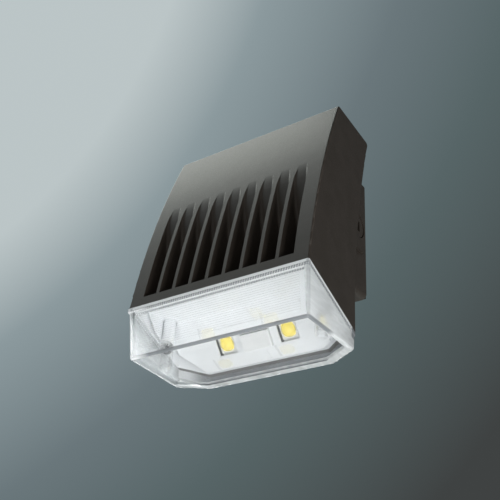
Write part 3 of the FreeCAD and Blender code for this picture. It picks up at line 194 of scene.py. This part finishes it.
# ---------------------------------------------------------------- white lamp chamber in the door
BOARD_TILT = 50.0
BOARD_FOOT = Vector((0, -27.4, -93.3)) * MM
CHAMBER_SIDE = 69.0 * MM
CHAMBER_FRONT = -92.0 * MM
CHAMBER_REAR = -27.5 * MM
CHAMBER_LIP = 5.6 * MM
CHAMBER_ROOF = -64.2 * MM
SEAT_END = -40.0 * MM
SEAT_BLEND = 2 * MM
PAINT_LINE = 0.2 * MM

NODES_BY_FINISH = {
    "housing_coat": ["door_housing"],
    "powder_coat": ["back_box", "mounting_plate", "door_frame", "conduit_plug_left",
                    "conduit_plug_right"],
    "white_enamel": ["reflector"],
    "solder_mask": ["led_board"],
    "ceramic": ["led_packages"],
    "phosphor": ["led_phosphors"],
    "white_nylon": ["board_connector"],
    "silicone": ["door_gasket", "lead_grommet"],
    "white_silicone": ["lens_gasket"],
    "foam": ["wall_gasket"],
    "gap_pad": ["thermal_pad"],
    "driver_plastic": ["driver"],
    "smoke_clear": ["push_in_connectors"],
    "green_paint": ["ground_screw"],
    "zinc": ["driver_bracket"],
    "dark_steel": ["lens_screws"],
    "stainless": ["hinge_pins", "hinge_clips", "plate_screws", "frame_screws", "board_screws",
                  "driver_screws", "bracket_screws", "latch_washer", "latch_screw"],
    "wire_black": ["input_lead_line", "output_lead_negative"],
    "wire_white": ["input_lead_neutral"],
    "wire_green": ["input_lead_earth"],
    "wire_red": ["output_lead_positive"],
    "lens_clear": ["lens"],
    "dome_clear": ["led_domes"],
}


# ---------------------------------------------------------------- shader steps
def coordinates(tree, kind="Object"):
    return tree.nodes.new("ShaderNodeTexCoord").outputs[kind]


def principled(tree):
    return next(n for n in tree.nodes if n.type == "BSDF_PRINCIPLED")


def new_material(name):
    """A node material with one principled shader, and its object coordinates."""
    made = bpy.data.materials.new(name)
    made.use_nodes = True
    tree = made.node_tree
    return made, tree, principled(tree), coordinates(tree)


def set_inputs(node, values):
    for name, value in values.items():
        node.inputs[name].default_value = value


def rgba(colour):
    return (*colour, 1.0)


def darker(colour, share):
    return tuple(c * share for c in colour)


def noise_at(tree, place, size, detail=2.0, stretch=(1, 1, 1)):
    """Noise whose grains are about the given size in metres."""
    mapping = tree.nodes.new("ShaderNodeMapping")
    mapping.inputs["Scale"].default_value = stretch
    tree.links.new(place, mapping.inputs["Vector"])
    noise = tree.nodes.new("ShaderNodeTexNoise")
    set_inputs(noise, {"Scale": 1 / size, "Detail": detail})
    tree.links.new(mapping.outputs["Vector"], noise.inputs["Vector"])
    return noise.outputs["Fac"]


def ramp(tree, value, low, high, start=0.35, end=0.65):
    """Colours from low to high as value runs from start to end."""
    node = tree.nodes.new("ShaderNodeValToRGB")
    first, last = node.color_ramp.elements
    first.position, last.position = start, end
    first.color, last.color = rgba(low), rgba(high)
    tree.links.new(value, node.inputs["Fac"])
    return node.outputs["Color"]


def mapped(tree, value, start, end, low, high, smooth):
    """Runs from low to high as value goes from start to end."""
    node = tree.nodes.new("ShaderNodeMapRange")
    if smooth:
        node.interpolation_type = "SMOOTHSTEP"
    set_inputs(node, {"From Min": start, "From Max": end, "To Min": low, "To Max": high})
    tree.links.new(value, node.inputs["Value"])
    return node.outputs["Result"]


def spread(tree, value, low, high):
    """Maps a noise value to a range of numbers."""
    return mapped(tree, value, *NOISE_RANGE, low, high, smooth=False)


def blend_of(tree, value, start, end, low=0.0, high=1.0):
    """Runs smoothly from low to high as value goes from start to end."""
    return mapped(tree, value, start, end, low, high, smooth=True)


def bump(tree, shader, height, depth):
    """Raises the surface by up to depth metres."""
    node = tree.nodes.new("ShaderNodeBump")
    set_inputs(node, {"Distance": depth, "Strength": 1.0})
    tree.links.new(height, node.inputs["Height"])
    tree.links.new(node.outputs["Normal"], shader.inputs["Normal"])


def number(tree, operation, *values):
    """One step of arithmetic on sockets and plain numbers."""
    node = tree.nodes.new("ShaderNodeMath")
    node.operation = operation
    for socket, value in zip(node.inputs, values):
        if isinstance(value, (int, float)):
            socket.default_value = value
        else:
            tree.links.new(value, socket)
    return node.outputs["Value"]


def combined(tree, operation, masks):
    found = masks[0]
    for mask in masks[1:]:
        found = number(tree, operation, found, mask)
    return found


def times(tree, *masks):
    return combined(tree, "MULTIPLY", masks)


def strongest(tree, *masks):
    return combined(tree, "MAXIMUM", masks)


def vectors(tree, operation, first, second=None):
    """One step of vector arithmetic on a socket and a fixed vector."""
    node = tree.nodes.new("ShaderNodeVectorMath")
    node.operation = operation
    tree.links.new(first, node.inputs[0])
    if second is not None:
        node.inputs[1].default_value = second
    return node.outputs


def split(tree, place):
    parts = tree.nodes.new("ShaderNodeSeparateXYZ")
    tree.links.new(place, parts.inputs["Vector"])
    return [parts.outputs[axis] for axis in "XYZ"]


def vector_of(tree, *values):
    made = tree.nodes.new("ShaderNodeCombineXYZ")
    for socket, value in zip(made.inputs, values):
        tree.links.new(value, socket)
    return made.outputs["Vector"]


def mixed(tree, share, first, second):
    """A colour between two, each a socket or a fixed colour."""
    node = tree.nodes.new("ShaderNodeMix")
    node.data_type = "RGBA"
    tree.links.new(share, node.inputs["Factor"])
    for socket, value in zip([n for n in node.inputs if n.type == "RGBA"], (first, second)):
        if isinstance(value, tuple):
            socket.default_value = rgba(value)
        else:
            tree.links.new(value, socket)
    return next(n for n in node.outputs if n.type == "RGBA")


# ---------------------------------------------------------------- masks by place
def within(tree, value, limit, blend):
    """1 up to a limit and 0 from one blend past it; a negative blend keeps what is above."""
    return blend_of(tree, value, limit + blend, limit)


def painted(tree, value, limit, side):
    """1 up to a limit and one line's width past it; side is 1 to keep what is below, or -1."""
    return blend_of(tree, value, limit + side * 2 * PAINT_LINE, limit + side * PAINT_LINE)


def distance_to_line(tree, place, start, end):
    offset = vectors(tree, "SUBTRACT", place, start)["Vector"]
    across = vectors(tree, "CROSS_PRODUCT", offset, (end - start).normalized())["Vector"]
    return vectors(tree, "LENGTH", across)["Value"]


def beyond_plane(tree, place, tilt, foot):
    """Distance of a point below a plane that rises to the front by its tilt in degrees."""
    angle = math.radians(tilt)
    normal = Vector((0, -math.sin(angle), -math.cos(angle)))
    reach = vectors(tree, "DOT_PRODUCT", place, normal)["Value"]
    return number(tree, "SUBTRACT", reach, normal.dot(foot))


def below_flange(tree, place):
    """Distance of a point under the flange on which the lens seats."""
    return beyond_plane(tree, place, FLANGE_TILT, Vector((0, *LENS_FRONT_TOP[1:])))


def inset_from_rear(tree, aside, y):
    """Distance of a point inside the flange's rear edge and its chamfered corners."""
    across = number(tree, "MULTIPLY", aside, LENS_CORNER_NORMAL[0])
    along = number(tree, "MULTIPLY", y, LENS_CORNER_NORMAL[1])
    corner = number(tree, "SUBTRACT", LENS_CORNER_REACH, number(tree, "ADD", across, along))
    return number(tree, "MINIMUM", corner, number(tree, "SUBTRACT", LENS_REAR, y))


def lens_edge_shade(tree, place, y, lit):
    """Painted shade: 1 along the lens's thick outer corners and 0 on its walls; the lit ones
    show most.
    """
    fading = strongest(tree, blend_of(tree, y, *LENS_SIDE_FADE), lit)
    lines = [(Vector((0, *LENS_FRONT_LOW[1:])), LENS_FRONT_LOW, None),
             (LENS_FRONT_LOW, LENS_REAR_LOW, fading),
             (LENS_FRONT_TOP, LENS_FRONT_LOW, strongest(tree, lit, LENS_UPRIGHT_LEAST))]
    bands = []
    for start, end, strength in lines:
        near = distance_to_line(tree, place, start, end)
        band = blend_of(tree, near, LENS_EDGE_BAND, LENS_EDGE_BAND * LENS_EDGE_CORE)
        bands.append(band if strength is None else times(tree, band, strength))
    return strongest(tree, *bands)


def knurled_line(tree, x, y, depth):
    """A row of short dark marks just under the lens's rim."""
    along = number(tree, "FRACT", number(tree, "DIVIDE", number(tree, "ADD", x, y), KNURL_PITCH))
    middle = number(tree, "ABSOLUTE", number(tree, "SUBTRACT", along, 0.5))
    marks = blend_of(tree, middle, *KNURL_MARK, KNURL_LEAST, 1.0)
    top = blend_of(tree, depth, *(LENS_RIM * share for share in KNURL_TOP))
    low = blend_of(tree, depth, LENS_RIM + KNURL_HEIGHT, LENS_RIM + KNURL_HEIGHT * KNURL_FOOT)
    return times(tree, top, low, marks)


# ---------------------------------------------------------------- finishes
def coated(name, dark, light, grain, rough, depth, **extra):
    """A coated or moulded surface: mottled colour, uneven gloss and a fine grain."""
    made, tree, shader, place = new_material(name)
    mottle = noise_at(tree, place, grain * MOTTLE_SCALE, 4.0)
    fine = noise_at(tree, place, grain, 3.0)
    tree.links.new(ramp(tree, mottle, dark, light), shader.inputs["Base Color"])
    tree.links.new(spread(tree, fine, *rough), shader.inputs["Roughness"])
    bump(tree, shader, fine, depth)
    set_inputs(shader, extra)
    return made


def moulded(name):
    """A finish of the table of moulded ones."""
    colour, share, grain, rough, depth = MOULDED[name]
    return coated(name, darker(colour, share), colour, grain * MM, rough, depth * MM,
                  **MOULDED_EXTRAS.get(name, {}))


def bronze(name):
    return coated(name, BRONZE_DARK, BRONZE_LIGHT, COAT_GRAIN, COAT_ROUGHNESS, COAT_DEPTH,
                  **COAT_GLOSS)


def brushed(name, colour, stretch):
    """Metal with fine marks drawn out along one axis."""
    made, tree, shader, place = new_material(name)
    marks = noise_at(tree, place, BRUSH_MARK, 4.0, stretch)
    shades = ramp(tree, marks, darker(colour, BRUSH_SHADE), colour)
    tree.links.new(shades, shader.inputs["Base Color"])
    tree.links.new(spread(tree, marks, *BRUSH_ROUGHNESS), shader.inputs["Roughness"])
    bump(tree, shader, marks, BRUSH_DEPTH)
    set_inputs(shader, {"Metallic": 1.0})
    return made


def wavy(name, size, depth, rough):
    """The start of a clear finish: a slow wave in its surface and gloss."""
    made, tree, shader, place = new_material(name)
    flow = noise_at(tree, place, size, 2.0)
    bump(tree, shader, flow, depth)
    tree.links.new(spread(tree, flow, *rough), shader.inputs["Roughness"])
    return made, tree, shader, place, flow


def clear_lens(name):
    """Clear moulding: a white rim with a knurled line under it, hazy walls, and painted light:
    shade on the corners and the top of the rear wall, a highlight on the lit left corners,
    darker haze on the left.
    """
    made, tree, shader, place, flow = wavy(name, LENS_WAVE, LENS_WAVE_DEPTH, LENS_ROUGHNESS)
    x, y, z = split(tree, place)
    aside = number(tree, "ABSOLUTE", x)
    depth = below_flange(tree, place)
    inset = inset_from_rear(tree, aside, y)
    ahead = blend_of(tree, y, *LENS_RIM_END)
    lit = blend_of(tree, x, *LENS_LIT)

    rim = times(tree, blend_of(tree, depth, LENS_RIM, LENS_RIM * LENS_RIM_CORE), ahead)
    # painted shade along the thick corners
    edge = lens_edge_shade(tree, vector_of(tree, aside, y, z), y, lit)
    knurl = times(tree, knurled_line(tree, x, y, depth), ahead)
    behind = within(tree, inset, LENS_WALL, LENS_BLEND)
    # painted shade: a grey band at the top of the rear wall
    shade = times(tree, behind, within(tree, depth, LENS_TAIL_SHADE, LENS_BLEND))
    # grey: the painted shade of the corners and the rear wall's top, with the knurled marks
    grey = strongest(tree, edge, knurl, shade)
    side = within(tree, aside, LENS_SIDE, -LENS_WIDE_BLEND)
    tail = times(tree, within(tree, inset, LENS_TAIL_WIDTH, LENS_WIDE_BLEND),
                 within(tree, z, LENS_FLOOR, LENS_BLEND))
    streaks = noise_at(tree, place, LENS_STREAK, 3.0, LENS_STREAK_STRETCH)
    haze = times(tree, strongest(tree, side, behind, tail),
                 spread(tree, streaks, *LENS_STREAK_RANGE))

    facing = tree.nodes.new("ShaderNodeLayerWeight").outputs["Facing"]
    seen = blend_of(tree, facing, *LENS_GRAZING, *LENS_VEIL)
    for mask, cover in ((rim, LENS_RIM_COVER), (grey, LENS_GREY_COVER), (haze, LENS_HAZE)):
        seen = strongest(tree, seen, times(tree, mask, cover))
    tree.links.new(seen, shader.inputs["Alpha"])

    tint = ramp(tree, flow, darker(LENS_TINT, LENS_SHADE), LENS_TINT)
    # painted shade and light: the haze is painted darker on the left and brighter on the right
    hazed = mixed(tree, haze, tint, mixed(tree, lit, LENS_HAZE_BRIGHT_RIGHT, LENS_HAZE_SHADED_LEFT))
    # the corners' painted shade is grey, turning to a white painted highlight on the lit left
    painted_edges = mixed(tree, lit, LENS_EDGE_SHADE_GREY, WHITE)
    tree.links.new(mixed(tree, grey, hazed, painted_edges), shader.inputs["Base Color"])
    solid = strongest(tree, rim, grey, times(tree, haze, LENS_HAZE_BODY))
    tree.links.new(number(tree, "SUBTRACT", 1.0, solid), shader.inputs["Transmission Weight"])
    set_inputs(shader, {"IOR": LENS_IOR})
    return made


def clear_dome(name):
    """Soft clear silicone, painted with a faint yellow that stands in for the chip seen through
    it.
    """
    made, tree, shader, _, flow = wavy(name, DOME_WAVE, DOME_WAVE_DEPTH, DOME_ROUGHNESS)
    tint = ramp(tree, flow, darker(DOME_CHIP_COLOUR, DOME_SHADE), DOME_CHIP_COLOUR)
    tree.links.new(tint, shader.inputs["Base Color"])
    set_inputs(shader, DOME_CLARITY)
    return made


def paint_over(made, mask, colour):
    """Covers a finish with a plain colour where the mask is 1."""
    tree = made.node_tree
    base = principled(tree).inputs["Base Color"]
    tree.links.new(mixed(tree, mask, base.links[0].from_socket, colour), base)


def paint_chamber(made):
    """Paints the lamp chamber inside the lens, and the front of the lens's seat, white."""
    tree = made.node_tree
    place = coordinates(tree)
    x, y, z = split(tree, place)
    aside = number(tree, "ABSOLUTE", x)
    rise = beyond_plane(tree, place, BOARD_TILT, BOARD_FOOT)
    inside = times(tree,
                   painted(tree, inset_from_rear(tree, aside, y), CHAMBER_LIP, -1),
                   painted(tree, aside, CHAMBER_SIDE, 1),
                   painted(tree, y, CHAMBER_FRONT, -1),
                   painted(tree, y, CHAMBER_REAR, 1),
                   painted(tree, z, CHAMBER_ROOF, 1),
                   painted(tree, rise, 0, -1))
    seat = times(tree, painted(tree, below_flange(tree, place), 0, -1),
                 within(tree, y, SEAT_END, SEAT_BLEND))
    paint_over(made, strongest(tree, inside, seat), WHITE)


def paint_led_shadows(made):
    """Paints a shadow on the board: a dark strip at one side of each LED, for the shade in the
    gap at the window's edge.
    """
    tree = made.node_tree
    x = split(tree, coordinates(tree))[0]
    half = LED_SPACING / 2
    aside = number(tree, "WRAP", number(tree, "ADD", x, half), half, -half)
    # painted shadow: 1 in the strip at one side of each LED
    shadow_strip = times(tree, within(tree, aside, LED_SHADOW_STRIP[1], LED_SHADOW_BLEND),
                  within(tree, aside, LED_SHADOW_STRIP[0], -LED_SHADOW_BLEND))
    paint_over(made, shadow_strip, BOARD_PAINTED_SHADOW)


finishes = {name: moulded(name) for name in MOULDED}
finishes.update({name: brushed(name, *values) for name, values in BRUSHED.items()})
finishes.update({name: bronze(name) for name in ("powder_coat", "housing_coat")})
finishes["lens_clear"] = clear_lens("lens_clear")
finishes["dome_clear"] = clear_dome("dome_clear")
paint_chamber(finishes["housing_coat"])
paint_led_shadows(finishes["solder_mask"])

for finish, names in NODES_BY_FINISH.items():
    for name in names:
        slots = NODES[name].data.materials
        slots.clear()
        slots.append(finishes[finish])


# ---------------------------------------------------------------- stage, light, camera
def add_floor():
    mesh = bpy.data.meshes.new("floor")
    half = FLOOR_SIZE / 2
    corners = [(-half, -half, 0), (half, -half, 0), (half, half, 0), (-half, half, 0)]
    mesh.from_pydata(corners, [], [(0, 1, 2, 3)])
    floor = bpy.data.objects.new("floor", mesh)
    bpy.context.scene.collection.objects.link(floor)
    floor.location.z = -FLOOR_DROP
    mesh.materials.append(finishes["floor_paint"])


def add_area(name, place, aim, size, power, colour):
    """A soft square light at a place, turned to its aim."""
    light = bpy.data.lights.new(name, "AREA")
    light.shape = "SQUARE"
    light.size = size
    light.energy = power
    light.color = colour
    lamp = bpy.data.objects.new(name, light)
    bpy.context.scene.collection.objects.link(lamp)
    lamp.location = place
    lamp.rotation_euler = (Vector(aim) - Vector(place)).to_track_quat("-Z", "Y").to_euler()


def add_world():
    """A plain studio: bright overhead on the left, and dark to the right and below."""
    world = bpy.data.worlds.new("studio")
    bpy.context.scene.world = world
    world.use_nodes = True
    tree = world.node_tree
    back = next(n for n in tree.nodes if n.type == "BACKGROUND")
    towards = vectors(tree, "DOT_PRODUCT", coordinates(tree, "Generated"), WORLD_BRIGHT_SIDE)
    shade = tree.nodes.new("ShaderNodeValToRGB")
    colours = shade.color_ramp
    for position, _ in WORLD_STEPS[2:]:
        colours.elements.new(position)
    for element, (position, colour) in zip(colours.elements, WORLD_STEPS):
        element.position, element.color = position, rgba(colour)
    tree.links.new(towards["Value"], shade.inputs["Fac"])
    tree.links.new(shade.outputs["Color"], back.inputs["Color"])
    back.inputs["Strength"].default_value = WORLD_STRENGTH


def add_camera():
    """Places the camera by its azimuth, elevation and roll about the view's target."""
    azimuth, elevation = math.radians(VIEW_AZIMUTH), math.radians(VIEW_ELEVATION)
    level = math.cos(elevation)
    back = Vector((math.sin(azimuth) * level, -math.cos(azimuth) * level, math.sin(elevation)))
    right = (-back).cross(Vector((0, 0, 1))).normalized()
    up = back.cross(right)
    turn = Matrix.Rotation(math.radians(VIEW_ROLL), 3, back)
    right, up = turn @ right, turn @ up
    place = VIEW_TARGET - right * VIEW_OFFSET.x + up * VIEW_OFFSET.y + back * VIEW_OFFSET.z
    lens = bpy.data.cameras.new("camera")
    lens.sensor_width = SENSOR_WIDTH
    lens.lens = SENSOR_WIDTH * FOCAL_PIXELS / PICTURE_WIDTH
    lens.clip_start = CLIP_START
    camera = bpy.data.objects.new("camera", lens)
    bpy.context.scene.collection.objects.link(camera)
    axes = Matrix((right, up, back)).transposed().to_4x4()
    camera.matrix_world = Matrix.Translation(place) @ axes
    bpy.context.scene.camera = camera


add_floor()
add_world()
for name, values in LIGHTS.items():
    add_area(name, *values)
add_camera()
bpy.context.scene.view_settings.view_transform = VIEW_TRANSFORM
